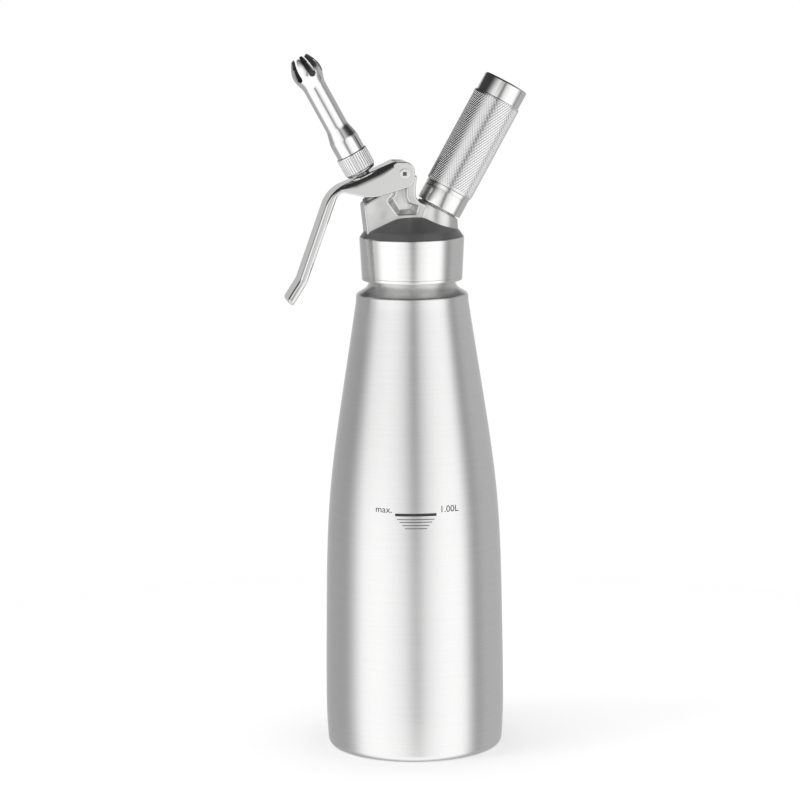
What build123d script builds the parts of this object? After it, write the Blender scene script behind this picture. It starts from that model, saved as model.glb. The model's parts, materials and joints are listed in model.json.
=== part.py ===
from build123d import *
import os
from math import cos, pi, radians, sin, sqrt, tan

# Whipped cream dispenser, millimetres. Origin at the centre of the bottle's base, +Z up.
# The valve and nozzle lean towards -X, the charger holder towards +X, the front faces -Y.
# A level is a distance along a leaning bore, measured from where its axis crosses the Z axis.

# ---- bottle ----
belly_radius = 50.0
belly_height = 29.5
foot_radius = 49.1
foot_corner = 4.0
foot_lean = 0.07
shoulder_radius = 31.4
shoulder_height = 251.1
shoulder_edge_taper = 0.35
shoulder_edge_rise = 4.9
shoulder_edge_fillet = 1.8
shoulder_lean = 8.5  # degrees that the flank leans in where it meets the shoulder
flank_shares = ((0.236, 0.968), (0.507, 0.836), (0.738, 0.484))  # height and radius shares
neck_radius = 23.8
neck_root_rise = 9.2
neck_root_fillet = 2.0
neck_length = 3.9
bottle_wall = 1.0

# ---- neck thread ----
thread_crest_radius = 25.0
thread_depth = 0.8
thread_pitch = 4.0
thread_turns = 3
thread_run_out = 0.8
rim_land = 1.0

# ---- head sleeve, floor and gasket ----
collar_bottom_rise = 12.5
collar_bottom_radius = 27.9
collar_top_radius = 29.15
collar_top_rise = 23.7
collar_wall = 1.2
dome_edge_inset = 3.15
dome_edge_rise = 4.3
dome_brow_radius = 12.5
dome_brow_rise = 6.8
dome_crown_rise = 1.8
collar_edge_fillet = 1.6
dome_edge_fillet = 3.0
dome_brow_fillet = 12.0
gasket_thickness = 2.0
gasket_width = 4.5
head_floor_thickness = 6.0

# ---- head casting: tower, lug and boss ----
tower_half_width = 8.8
tower_reach = 8.4
tower_foot_x = -25.2
tower_corner_fillet = 2.0
lug_radius = 5.0
lug_edge_x = 2.0
lug_top_drop = 1.5
pocket_depth = 5.3
# edge of the lug towards the boss, from its top corner, across and up
lug_edge = ((0, 0), (-0.9, -7.7), (-0.7, -11.5), (1.2, -14.1), (4.0, -15.5))
# rim and floor of the pocket between tower and lug, corner by corner, measured from the pivot
pocket_rim = (
    (-4.2, -6.3),
    (-7.0, -12.8),
    (-9.4, -15.2),
    (-3.8, -22.9),
    (6.9, -22.6),
    (8.3, -18.4),
    (3.1, -16.5),
    (1.3, -13.0),
    (1.4, -6.3),
)
pocket_floor = (
    (-3.0, -6.3),
    (-4.6, -12.2),
    (-6.2, -13.7),
    (-2.0, -20.9),
    (3.5, -20.6),
    (4.7, -17.7),
    (2.7, -16.1),
    (1.0, -12.7),
    (1.1, -6.3),
)
boss_top_level = 30.5
boss_radius = 12.25
boss_foot_radius = 14.5
boss_foot_x = 11.7
spigot_radius = 10.4
spigot_length = 9.5

# ---- valve, leaning towards -X ----
valve_tilt = 28.4
valve_root_drop = 7.5  # below the head's floor
valve_seat_level = 14.0
valve_seat_length = 7.0
stem_radius = 3.9
stem_bore_radius = 2.2
stem_port_radius = 1.2
stem_port_rise = 2.6
stem_port_sump = 0.6
valve_bore_radius = 5.0
seal_radius = 5.2
seal_thickness = 1.6
seal_room = 1.0
seal_nut_radius = 3.9
seal_nut_height = 2.0
o_ring_section = 0.5
valve_washer_height = 1.0
valve_spring_wire = 0.4
valve_spring_turns = 7
stem_clip_height = 1.4
gland_radius = 7.2
gland_head = 1.6
gland_plug = 2.4
thrust_nut_radius = 6.8
thrust_crown_radius = 20.0
thrust_clearance = 0.15
thrust_nut_height = 4.24
thrust_nut_room = 2.0
stem_collar_radius = 5.4
stem_collar_height = 1.9
stem_collar_drop = 0.3

# ---- nozzle ----
ring_clearance = 0.52  # between the ring's foot and the lever's web
ring_radius = 8.95
ring_height = 12.1
ring_bevel = 1.3
ring_top_bevel = 0.3
ring_bore_radius = 6.0
tube_low_radius = 8.2
tube_low_length = 8.0
tube_cone_length = 8.8
tube_radius = 6.4
tube_length = 24.3
tube_bore_radius = 5.5
nozzle_thread_length = 8.2
nozzle_gasket_height = 1.0
nozzle_step_height = 2.0
tulip_length = 17.5
tulip_radius = 8.35
tulip_belly_drop = 10.3
tulip_tip_radius = 4.95
tulip_tip_lean = 33.0
tulip_wall = 0.9
tulip_slots = 6
tulip_slot_width = 3.4
tulip_slot_depth = 12.3
tulip_slot_angle = -86.0

# ---- lever ----
pivot_x = -5.3
pivot_rise = 23.1  # above the dome's crown
lever_width = 22.0
lever_sheet = 1.8
lever_web_slope = 23.5
lever_web_rise = 8.2
lever_web_end = 2.4
lever_web_end_radius = 6.0
lever_knee_reach = 41.1
lever_knee_radius = 20.0
handle_lean = 19.8
handle_length = 52.0
handle_flange = 4.4
tip_lean = 33.0
tip_length = 13.8
tip_bend_radius = 12.0
tip_corner_radius = 1.5
inner_knee_radius = 4.0
lever_travel = 12.0
stem_slot_play = 0.5
# corners of the side plate from the handle round the pivot to the web, measured from the pivot
inner_knee = (-36.2, -9.3)
plate_low = (-17.5, -13.6)
plate_low_radius = 25.0
ear_low = (6.1, -6.4)
ear_low_radius = 7.0
ear_high = (5.5, 6.3)
ear_high_radius = 5.5
pin_radius = 2.2
pin_head_radius = 2.8
pin_head_height = 0.8
pin_socket = 2.0
pin_nut_radius = 3.6
pin_nut_height = 2.0

# ---- gas side, leaning towards +X ----
charger_tilt = 29.2
charger_root_drop = 3.8
gas_hole_radius = 1.5
poppet_chamber_level = 14.0
poppet_chamber_radius = 4.0
poppet_chamber_length = 12.0
poppet_radius = 3.4
poppet_height = 3.6
poppet_guide_radius = 1.3
poppet_travel = 1.5
poppet_spring_wire = 0.3
poppet_spring_turns = 5
gas_valve_radius = 6.0
charger_seal_depth = 2.0
charger_seal_rise = 0.9
charger_seal_bore = 1.9
pin_shank_radius = 1.4
pin_point_radius = 0.28
pin_foot_rise = 1.0
pin_taper_length = 3.5
pin_pierce = 2.0
charger_radius = 9.0
charger_length = 66.0
charger_neck_radius = 4.4
charger_neck_length = 4.5
charger_shoulder_length = 8.0
charger_shoulder_flare = 0.5
charger_mouth_radius = 1.3
charger_wall = 1.2
holder_gap = 0.7
charger_end_gap = 0.3
holder_radius = 13.0
holder_ring_length = 11.7
holder_cap_radius = 12.85
holder_cap_length = 10.4
holder_cap_bevel = 0.8
holder_end_wall = 2.4
holder_bore_relief = 1.0
knurl_radius = 13.6

# ---- clearances ----
running_gap = 0.05
thread_gap = 0.08
seat_gap = 0.1
loose_gap = 0.4


def leaning(tilt, root_height):
    """Side plane of a bore that leans by tilt towards +X: local x across it, local y up it."""
    lean = radians(tilt)
    return Plane(origin=(0, 0, root_height), x_dir=(cos(lean), 0, -sin(lean)), z_dir=(0, -1, 0))


def at(side, across, level):
    """Point of a side plane in the part's own frame."""
    return side.from_local_coords(Vector(across, level, 0))


def square_to(side, level):
    """Plane square to a leaning bore at a level."""
    return Plane(origin=at(side, 0, level), x_dir=side.x_dir, z_dir=side.y_dir)


def band(inner, outer, low, high, mode=Mode.ADD):
    """Half section of a turned ring, for a sketch revolved about its local y."""
    with Locations(((inner + outer) / 2, (low + high) / 2)):
        Rectangle(outer - inner, high - low, mode=mode)


def polar(length, degrees_from_down):
    """Step of a length, leaning towards -X from straight down."""
    lean = radians(degrees_from_down)
    return Vector(-length * sin(lean), -length * cos(lean), 0)


upright = Plane.XZ

# ---- stack of heights up the Z axis ----
neck_root_height = shoulder_height + neck_root_rise
neck_top_height = neck_root_height + neck_length
thread_height = thread_run_out + thread_turns * thread_pitch + rim_land
rim_height = neck_top_height + thread_height
floor_height = rim_height + seat_gap + gasket_thickness
collar_bottom_height = shoulder_height + collar_bottom_rise
collar_top_height = collar_bottom_height + collar_top_rise
dome_edge_height = collar_top_height + dome_edge_rise
dome_brow_height = dome_edge_height + dome_brow_rise
dome_crown_height = dome_brow_height + dome_crown_rise

valve_side = leaning(-valve_tilt, floor_height - valve_root_drop)
charger_side = leaning(charger_tilt, floor_height - charger_root_drop)
valve_axis = Axis(valve_side.origin, valve_side.y_dir)
charger_axis = Axis(charger_side.origin, charger_side.y_dir)

# ---- levels up the valve ----
pivot_height = dome_crown_height + pivot_rise
pivot = Vector(pivot_x, 0, pivot_height)
pivot_in_valve = valve_side.to_local_coords(pivot)
web_underside_rise = lever_web_rise - lever_sheet
rest_lean = radians(lever_web_slope - valve_tilt)
pressed_lean = rest_lean + radians(lever_travel)


def web_level(rise, lean):
    """Level at which a line along the web, at a rise above the pivot, crosses the valve's axis."""
    return pivot_in_valve.Y + (rise - pivot_in_valve.X * sin(lean)) / cos(lean)


def crown_centre(lean):
    """Level of the thrust nut's crown centre when the web leans this far from square."""
    return web_level(web_underside_rise - thrust_crown_radius - thrust_clearance, lean)


valve_travel = crown_centre(rest_lean) - crown_centre(pressed_lean)
crown_level = crown_centre(rest_lean)
thrust_nut_level = crown_level + thrust_crown_radius - thrust_nut_height
gland_top_level = thrust_nut_level - valve_travel - thrust_nut_room
tower_top_level = gland_top_level - gland_head
ring_foot_tilt = (ring_radius - ring_bevel) * tan(abs(rest_lean))
ring_level = web_level(lever_web_rise, rest_lean) + ring_foot_tilt + ring_clearance
seal_foot_level = valve_seat_level - seat_gap - seal_thickness
seal_nut_level = seal_foot_level - seal_nut_height
o_ring_level = valve_seat_level + valve_seat_length
washer_level = o_ring_level + 2 * o_ring_section
spring_foot_level = washer_level + valve_washer_height
gland_foot_level = tower_top_level - gland_plug
stem_clip_level = gland_foot_level - stem_clip_height - seat_gap
stem_collar_level = ring_level - stem_collar_drop
nozzle_foot_level = stem_collar_level + stem_collar_height + running_gap
nozzle_step_level = nozzle_foot_level + nozzle_thread_length
stem_top_level = nozzle_step_level - nozzle_gasket_height - seat_gap
ring_top_level = ring_level + ring_height
tube_cone_level = ring_top_level + tube_low_length
tube_level = tube_cone_level + tube_cone_length
tulip_level = tube_level + tube_length
tulip_tip_level = tulip_level + tulip_length
tulip_belly_level = tulip_tip_level - tulip_belly_drop

# ---- levels up the gas side ----
chamber_top_level = poppet_chamber_level + poppet_chamber_length
spigot_top_level = boss_top_level + spigot_length
charger_seal_level = spigot_top_level - charger_seal_depth
charger_level = spigot_top_level + charger_seal_rise + seat_gap
holder_level = boss_top_level + holder_gap
holder_core_level = holder_level + holder_ring_length
holder_top_level = charger_level + charger_length + charger_end_gap + holder_end_wall
holder_cap_level = holder_top_level - holder_cap_length

finished = []


def finish(part, label):
    part.label = label
    finished.append(part)


# ---- bottle ----
def bottle_outline(inset, top):
    """Lines of the bottle's half section, drawn in from its outside by inset."""
    span = shoulder_height - belly_height
    drop = belly_radius - shoulder_radius
    lean = radians(shoulder_lean)
    flank = [(belly_radius - inset, belly_height)]
    for rise, share in flank_shares:
        flank.append((shoulder_radius + share * drop - inset, belly_height + rise * span))
    flank.append((shoulder_radius - inset, shoulder_height))
    edge_radius = shoulder_radius - shoulder_edge_taper
    Line((0, inset), (foot_radius - foot_corner, inset))
    CenterArc((foot_radius - foot_corner, foot_corner), foot_corner - inset, -90, 90)
    Spline((foot_radius - inset, foot_corner), flank[0], tangents=[(foot_lean, 1), (0, 1)])
    Spline(*flank, tangents=[(0, 1), (-sin(lean), cos(lean))])
    FilletPolyline(
        (shoulder_radius - inset, shoulder_height),
        (edge_radius - inset, shoulder_height + shoulder_edge_rise - inset),
        (neck_radius - inset, neck_root_height - inset),
        (neck_radius - inset, top),
        radius=(shoulder_edge_fillet, neck_root_fillet),
    )
    Line((neck_radius - inset, top), (0, top))
    Line((0, top), (0, inset))


with BuildPart() as bottle_body:
    with BuildSketch(upright):
        with BuildLine():
            bottle_outline(0, neck_top_height)
        make_face()
    revolve(axis=Axis.Z)
    with BuildSketch(upright):
        with BuildLine():
            bottle_outline(bottle_wall, neck_top_height)
        make_face()
    revolve(axis=Axis.Z, mode=Mode.SUBTRACT)
finish(bottle_body.part, "bottle_body")

with BuildPart() as bottle_neck_ring:
    root_radius = thread_crest_radius - thread_depth
    with BuildSketch(upright):
        band(neck_radius - bottle_wall, thread_crest_radius, neck_top_height, rim_height)
        for turn in range(thread_turns):
            groove = neck_top_height + thread_run_out + turn * thread_pitch
            band(
                root_radius,
                thread_crest_radius,
                groove,
                groove + thread_pitch / 2,
                mode=Mode.SUBTRACT,
            )
    revolve(axis=Axis.Z)
finish(bottle_neck_ring.part, "bottle_neck_ring")

# ---- head: gasket, thread ring, casting, sleeve ----
with BuildPart() as head_gasket:
    with BuildSketch(upright):
        band(
            thread_crest_radius - gasket_width,
            thread_crest_radius,
            rim_height + seat_gap,
            floor_height,
        )
    revolve(axis=Axis.Z)
finish(head_gasket.part, "head_gasket")

sleeve_bore_radius = collar_bottom_radius - collar_wall
with BuildPart() as head_thread_ring:
    with BuildSketch(upright):
        band(
            thread_crest_radius + thread_gap,
            sleeve_bore_radius - loose_gap / 2,
            collar_bottom_height + loose_gap,
            floor_height,
        )
    revolve(axis=Axis.Z)
finish(head_thread_ring.part, "head_thread_ring")

casting_foot_height = floor_height + head_floor_thickness / 2
tower_left = at(valve_side, -tower_reach, tower_top_level)
tower_right = at(valve_side, tower_reach, tower_top_level)
lug_top_height = pivot_height - lug_top_drop
lug_corners = [(lug_edge_x + x, lug_top_height + z) for x, z in lug_edge]

with BuildPart() as head_casting:
    with BuildSketch(Plane.XY.offset(floor_height)):
        Circle(sleeve_bore_radius + loose_gap)
    extrude(amount=head_floor_thickness)
    # valve tower and pivot lug
    with BuildSketch(upright):
        with BuildLine():
            Polyline(
                (tower_foot_x, casting_foot_height),
                (tower_left.X, tower_left.Z),
                (tower_right.X, tower_right.Z),
                (pivot_x - lug_radius, pivot_height),
                (pivot_x, pivot_height),
                *lug_corners,
                (lug_corners[-1][0], casting_foot_height),
                close=True,
            )
        make_face()
        fillet(
            vertices().sort_by_distance((tower_left.X, tower_left.Z))[0],
            radius=tower_corner_fillet,
        )
        with Locations((pivot_x, pivot_height)):
            Circle(lug_radius)
    extrude(amount=tower_half_width, both=True)
    # charger boss, from a round foot on the dome to its slanting top
    with BuildSketch(Plane.XY.offset(casting_foot_height)):
        with Locations((boss_foot_x, 0)):
            Circle(boss_foot_radius)
    with BuildSketch(square_to(charger_side, boss_top_level)):
        Circle(boss_radius)
    loft()
    with BuildSketch(square_to(charger_side, boss_top_level)):
        Circle(spigot_radius)
    extrude(amount=spigot_length)
    # pocket between tower and lug, front and back
    for facing in (1, -1):
        for offset, corners in (
            (tower_half_width, pocket_rim),
            (tower_half_width - pocket_depth, pocket_floor),
        ):
            with BuildSketch(upright.offset(facing * offset)):
                with BuildLine():
                    Polyline(*[(pivot_x + x, pivot_height + z) for x, z in corners], close=True)
                make_face()
        loft(ruled=True, mode=Mode.SUBTRACT)
    # valve bore
    with BuildSketch(valve_side):
        band(0, seal_radius + seal_room, 0, valve_seat_level)
        band(0, stem_radius + stem_slot_play, valve_seat_level, o_ring_level)
        band(0, valve_bore_radius, o_ring_level, gland_top_level)
    revolve(axis=valve_axis, mode=Mode.SUBTRACT)
    # gas bore
    with BuildSketch(charger_side):
        band(0, gas_hole_radius, 0, poppet_chamber_level)
        band(0, poppet_chamber_radius, poppet_chamber_level, chamber_top_level)
        band(0, gas_valve_radius, chamber_top_level, spigot_top_level)
    revolve(axis=charger_axis, mode=Mode.SUBTRACT)
    # bore for the lever pin
    with BuildSketch(upright):
        with Locations((pivot_x, pivot_height)):
            Circle(pin_radius + running_gap)
    extrude(amount=tower_half_width, both=True, mode=Mode.SUBTRACT)
finish(head_casting.part, "head_casting")


def collar_outline(inset):
    """Lines of the brushed sleeve and its dome, drawn in from the outside by inset."""
    FilletPolyline(
        (collar_bottom_radius - inset, collar_bottom_height),
        (collar_top_radius - inset, collar_top_height - inset / 2),
        (collar_top_radius - dome_edge_inset - inset, dome_edge_height - inset / 2),
        (dome_brow_radius - inset / 2, dome_brow_height - inset),
        (0, dome_crown_height - inset),
        radius=(collar_edge_fillet, dome_edge_fillet, dome_brow_fillet),
    )
    Line((0, dome_crown_height - inset), (0, collar_bottom_height))
    Line((0, collar_bottom_height), (collar_bottom_radius - inset, collar_bottom_height))


with BuildPart() as head_collar:
    with BuildSketch(upright):
        with BuildLine():
            collar_outline(0)
        make_face()
    revolve(axis=Axis.Z)
    with BuildSketch(upright):
        with BuildLine():
            collar_outline(collar_wall)
        make_face()
    revolve(axis=Axis.Z, mode=Mode.SUBTRACT)
    add(head_casting.part, mode=Mode.SUBTRACT)
    # the sleeve keeps only its outer shell, not the dome inside the casting's bores
    add(head_collar.part.solids().sort_by(SortBy.VOLUME)[-1], mode=Mode.REPLACE)
finish(head_collar.part, "head_collar")

# ---- valve ----
with BuildPart() as valve_stem:
    with BuildSketch(valve_side):
        band(0, stem_bore_radius, seal_nut_level, valve_seat_level - seat_gap)
        band(0, stem_radius, valve_seat_level - seat_gap, stem_top_level)
        band(
            0,
            stem_bore_radius,
            valve_seat_level + stem_port_rise - stem_port_radius - stem_port_sump,
            stem_top_level,
            mode=Mode.SUBTRACT,
        )
    revolve(axis=valve_axis)
    port = at(valve_side, 0, valve_seat_level + stem_port_rise)
    for across in (valve_side.x_dir, valve_side.z_dir):
        with BuildSketch(Plane(origin=port, x_dir=valve_side.y_dir, z_dir=across)):
            Circle(stem_port_radius)
        extrude(amount=stem_radius, both=True, mode=Mode.SUBTRACT)
finish(valve_stem.part, "valve_stem")


def turned(side, axis, inner, outer, low, high):
    """Plain ring turned about a leaning axis."""
    with BuildPart() as ring:
        with BuildSketch(side):
            band(inner, outer, low, high)
        revolve(axis=axis)
    return ring.part


def coil(side, mean_radius, wire, low, high, turns):
    """Open coil spring between two levels of a leaning bore."""
    height = high - low - 2 * wire
    foot = at(side, 0, low + wire)
    with BuildPart() as spring:
        with BuildLine() as path:
            Helix(height / turns, height, mean_radius, center=foot, direction=side.y_dir)
        with BuildSketch(Plane(origin=path.line @ 0, z_dir=path.line % 0)):
            Circle(wire)
        sweep(path=path.line)
    return spring.part


def hexagon(side, low, height, radius, bore):
    """Hexagon nut on a leaning axis."""
    with BuildPart() as nut:
        with BuildSketch(square_to(side, low)):
            RegularPolygon(radius, 6)
            Circle(bore, mode=Mode.SUBTRACT)
        extrude(amount=height)
    return nut.part


seal_top_level = valve_seat_level - seat_gap
finish(
    turned(
        valve_side, valve_axis, stem_bore_radius, seal_radius, seal_foot_level, seal_top_level
    ),
    "valve_seal",
)
finish(
    hexagon(valve_side, seal_nut_level, seal_nut_height, seal_nut_radius, stem_bore_radius),
    "valve_seal_nut",
)

with BuildPart() as valve_o_ring:
    with BuildSketch(valve_side):
        with Locations((valve_bore_radius - o_ring_section, o_ring_level + o_ring_section)):
            Circle(o_ring_section)
    revolve(axis=valve_axis)
finish(valve_o_ring.part, "valve_o_ring")

guide_radius = stem_radius + running_gap
finish(
    turned(
        valve_side, valve_axis, guide_radius, valve_bore_radius, washer_level, spring_foot_level
    ),
    "valve_washer",
)
spring_mean_radius = (stem_radius + valve_bore_radius) / 2
finish(
    coil(
        valve_side,
        spring_mean_radius,
        valve_spring_wire,
        spring_foot_level + running_gap,
        stem_clip_level - running_gap,
        valve_spring_turns,
    ),
    "valve_spring",
)
finish(
    turned(
        valve_side,
        valve_axis,
        stem_radius,
        valve_bore_radius - seat_gap,
        stem_clip_level,
        stem_clip_level + stem_clip_height,
    ),
    "stem_clip",
)

with BuildPart() as valve_gland:
    with BuildSketch(valve_side):
        band(guide_radius, valve_bore_radius, gland_foot_level, tower_top_level)
        band(guide_radius, gland_radius, tower_top_level, gland_top_level)
    revolve(axis=valve_axis)
finish(valve_gland.part, "valve_gland")


def crown(radius):
    """Level of the thrust nut's crowned top at a radius."""
    return crown_level + sqrt(thrust_crown_radius**2 - radius**2)


with BuildPart() as thrust_nut:
    middle = (stem_radius + thrust_nut_radius) / 2
    with BuildSketch(valve_side):
        with BuildLine():
            Polyline(
                (stem_radius, crown(stem_radius)),
                (stem_radius, thrust_nut_level),
                (thrust_nut_radius, thrust_nut_level),
                (thrust_nut_radius, crown(thrust_nut_radius)),
            )
            ThreePointArc(
                (thrust_nut_radius, crown(thrust_nut_radius)),
                (middle, crown(middle)),
                (stem_radius, crown(stem_radius)),
            )
        make_face()
    revolve(axis=valve_axis)
finish(thrust_nut.part, "thrust_nut")
finish(
    turned(
        valve_side,
        valve_axis,
        stem_radius,
        stem_collar_radius,
        stem_collar_level,
        stem_collar_level + stem_collar_height,
    ),
    "stem_collar",
)

# ---- nozzle ----
nozzle_bore_radius = stem_radius + running_gap
finish(
    turned(
        valve_side,
        valve_axis,
        stem_bore_radius,
        stem_radius - seat_gap,
        stem_top_level + seat_gap,
        nozzle_step_level,
    ),
    "nozzle_gasket",
)

with BuildPart() as nozzle_ring:
    with BuildSketch(valve_side):
        with BuildLine():
            Polyline(
                (ring_bore_radius, ring_level),
                (ring_radius - ring_bevel, ring_level),
                (ring_radius, ring_level + ring_bevel),
                (ring_radius, ring_top_level - ring_top_bevel),
                (ring_radius - ring_top_bevel, ring_top_level),
                (ring_bore_radius, ring_top_level),
                close=True,
            )
        make_face()
    revolve(axis=valve_axis)
finish(nozzle_ring.part, "nozzle_ring")


def tulip_outline(inset):
    """Lines of the tulip's half section above the tube, drawn in by inset."""
    lean = radians(tulip_tip_lean)
    foot = (tube_radius - inset, tulip_level)
    tip = (tulip_tip_radius - inset, tulip_tip_level)
    Spline(
        foot,
        (tulip_radius - inset, tulip_belly_level),
        tip,
        tangents=[(0, 1), (-sin(lean), cos(lean))],
    )
    Polyline(tip, (0, tulip_tip_level), (0, tulip_level), foot)


with BuildPart() as nozzle_tube:
    with BuildSketch(valve_side):
        band(0, ring_bore_radius, nozzle_foot_level, ring_top_level)
        with BuildLine():
            Polyline(
                (0, ring_top_level),
                (tube_low_radius, ring_top_level),
                (tube_low_radius, tube_cone_level),
                (tube_radius, tube_level),
                (tube_radius, tulip_level),
                (0, tulip_level),
                close=True,
            )
        make_face()
        with BuildLine():
            tulip_outline(0)
        make_face()
        with BuildLine():
            tulip_outline(tulip_wall)
        make_face(mode=Mode.SUBTRACT)
        step_top_level = nozzle_step_level + nozzle_step_height
        band(0, tube_bore_radius, step_top_level, tulip_level, mode=Mode.SUBTRACT)
        band(0, stem_bore_radius, nozzle_step_level, step_top_level, mode=Mode.SUBTRACT)
        band(0, nozzle_bore_radius, nozzle_foot_level, nozzle_step_level, mode=Mode.SUBTRACT)
    revolve(axis=valve_axis)
    # slots between the tulip's teeth, cut from the axis outwards
    slot_level = tulip_tip_level - tulip_slot_depth + tulip_slot_width / 2
    for slot in range(tulip_slots):
        turn = radians(tulip_slot_angle) + 2 * pi * slot / tulip_slots
        outward = valve_side.x_dir * cos(turn) - valve_side.z_dir * sin(turn)
        sideways = valve_side.y_dir.cross(outward)
        with BuildSketch(Plane(origin=at(valve_side, 0, 0), x_dir=sideways, z_dir=outward)):
            with Locations((0, slot_level)):
                Circle(tulip_slot_width / 2)
            with Locations((0, slot_level + tulip_slot_depth / 2)):
                Rectangle(tulip_slot_width, tulip_slot_depth)
        extrude(amount=2 * tulip_radius, mode=Mode.SUBTRACT)
finish(nozzle_tube.part, "nozzle_tube")

# ---- lever ----
web_slope = radians(lever_web_slope)
web_along = Vector(cos(web_slope), sin(web_slope), 0)
web_out = Vector(-sin(web_slope), cos(web_slope), 0)
pivot_point = Vector(pivot_x, pivot_height, 0)


def web_point(reach, rise):
    """Point by its reach towards -X along the web and its rise above the pivot."""
    return pivot_point - web_along * reach + web_out * rise


def handle_points(inset):
    """Knee, bend and tip of the handle's outer line, drawn in by inset."""
    knee = web_point(lever_knee_reach, lever_web_rise)
    bend = knee + polar(handle_length, handle_lean)
    tip = bend + polar(tip_length, tip_lean)
    half_knee = radians(90 - lever_web_slope - handle_lean) / 2
    half_bend = radians(tip_lean - handle_lean) / 2
    return (
        web_point(lever_knee_reach - inset * tan(half_knee), lever_web_rise - inset),
        bend + polar(inset / cos(half_bend), (handle_lean + tip_lean) / 2 - 90),
        tip + polar(inset, tip_lean - 90),
    )


knee, bend, tip = handle_points(0)
knee_in, bend_in, tip_in = handle_points(lever_sheet)
_, flange_bend, flange_tip = handle_points(handle_flange)
web_end = web_point(lever_web_end, lever_web_rise)
plate = [pivot_point + Vector(x, z, 0) for x, z in (inner_knee, plate_low, ear_low, ear_high)]
end_wall = polar(lever_sheet, tip_lean)
far_side = lever_knee_reach * 2
channel = lever_width / 2 - lever_sheet
web_underside = web_point(lever_web_end, web_underside_rise)


def slot_reach(lean):
    """Reach along the web at which the valve's axis crosses it, at a lean from square."""
    rise = lever_web_rise - lever_sheet / 2
    return (pivot_in_valve.X - rise * sin(lean)) / cos(lean)


rest_reach = slot_reach(rest_lean)
pressed_reach = slot_reach(pressed_lean)
slot_middle = web_point((rest_reach + pressed_reach) / 2, lever_web_rise)
stem_slot_half = stem_radius + 2 * stem_slot_play + abs(rest_reach - pressed_reach) / 2
slot_plane = Plane(
    origin=(slot_middle.X, 0, slot_middle.Y),
    x_dir=(web_along.X, 0, web_along.Y),
    z_dir=(web_out.X, 0, web_out.Y),
)

with BuildPart() as lever:
    with BuildSketch(upright):
        with BuildLine():
            FilletPolyline(
                web_end,
                knee,
                bend,
                tip,
                flange_tip,
                flange_bend,
                *plate,
                radius=(
                    lever_web_end_radius,
                    lever_knee_radius,
                    tip_bend_radius,
                    tip_corner_radius,
                    tip_corner_radius,
                    tip_bend_radius + handle_flange,
                    inner_knee_radius,
                    plate_low_radius,
                    ear_low_radius,
                    ear_high_radius,
                ),
                close=True,
            )
        make_face()
    extrude(amount=lever_width / 2, both=True)
    # channel between the side plates, under the web and behind the handle's strip
    with BuildSketch(upright):
        with BuildLine():
            FilletPolyline(
                web_underside,
                knee_in,
                bend_in,
                tip_in - end_wall,
                radius=(lever_knee_radius - lever_sheet, tip_bend_radius + lever_sheet),
            )
            Polyline(
                tip_in - end_wall,
                tip_in - end_wall + polar(far_side, tip_lean - 90),
                pivot_point + Vector(far_side, -far_side, 0),
                pivot_point + Vector(far_side, far_side, 0),
                web_point(lever_web_end, far_side),
                web_underside,
            )
        make_face()
    extrude(amount=channel, both=True, mode=Mode.SUBTRACT)
    # slot for the stem in the web
    with BuildSketch(slot_plane):
        SlotOverall(2 * stem_slot_half, 2 * (stem_radius + stem_slot_play))
    extrude(amount=2 * lever_sheet, both=True, mode=Mode.SUBTRACT)
    # bore for the pin through both ears
    with BuildSketch(upright):
        with Locations((pivot_x, pivot_height)):
            Circle(pin_radius)
    extrude(amount=lever_width, both=True, mode=Mode.SUBTRACT)
finish(lever.part, "lever")

ear_face = lever_width / 2
with BuildPart() as lever_pin:
    with BuildSketch(upright.offset(-ear_face - pin_nut_height)):
        with Locations((pivot_x, pivot_height)):
            Circle(pin_radius)
    extrude(amount=lever_width + pin_nut_height)
    with BuildSketch(upright.offset(ear_face)):
        with Locations((pivot_x, pivot_height)):
            Circle(pin_head_radius)
    extrude(amount=pin_head_height)
    with BuildSketch(upright.offset(ear_face + pin_head_height)):
        with Locations((pivot_x, pivot_height)):
            Rectangle(pin_socket, pin_socket)
    extrude(amount=-pin_head_height, mode=Mode.SUBTRACT)
finish(lever_pin.part, "lever_pin")

with BuildPart() as lever_pin_nut:
    with BuildSketch(upright.offset(-ear_face)):
        with Locations((pivot_x, pivot_height)):
            RegularPolygon(pin_nut_radius, 6)
            Circle(pin_radius, mode=Mode.SUBTRACT)
    extrude(amount=-pin_nut_height)
finish(lever_pin_nut.part, "lever_pin_nut")

# ---- gas side: check valve, piercing pin, seal ----
valve_body_level = chamber_top_level
poppet_level = valve_body_level - seat_gap - poppet_height
guide_level = poppet_chamber_level + poppet_travel + 2 * seat_gap

with BuildPart() as gas_valve_poppet:
    with BuildSketch(charger_side):
        band(0, poppet_radius, poppet_level, poppet_level + poppet_height)
        band(0, poppet_guide_radius, guide_level, poppet_level)
    revolve(axis=charger_axis)
finish(gas_valve_poppet.part, "gas_valve_poppet")
finish(
    coil(
        charger_side,
        (poppet_guide_radius + poppet_radius) / 2,
        poppet_spring_wire,
        poppet_chamber_level + running_gap,
        poppet_level - running_gap,
        poppet_spring_turns,
    ),
    "poppet_spring",
)
finish(
    turned(
        charger_side,
        charger_axis,
        pin_shank_radius,
        gas_valve_radius,
        valve_body_level,
        charger_seal_level,
    ),
    "gas_valve_body",
)
finish(
    turned(
        charger_side,
        charger_axis,
        charger_seal_bore,
        gas_valve_radius - seat_gap / 2,
        charger_seal_level,
        spigot_top_level + charger_seal_rise,
    ),
    "charger_seal",
)

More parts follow.
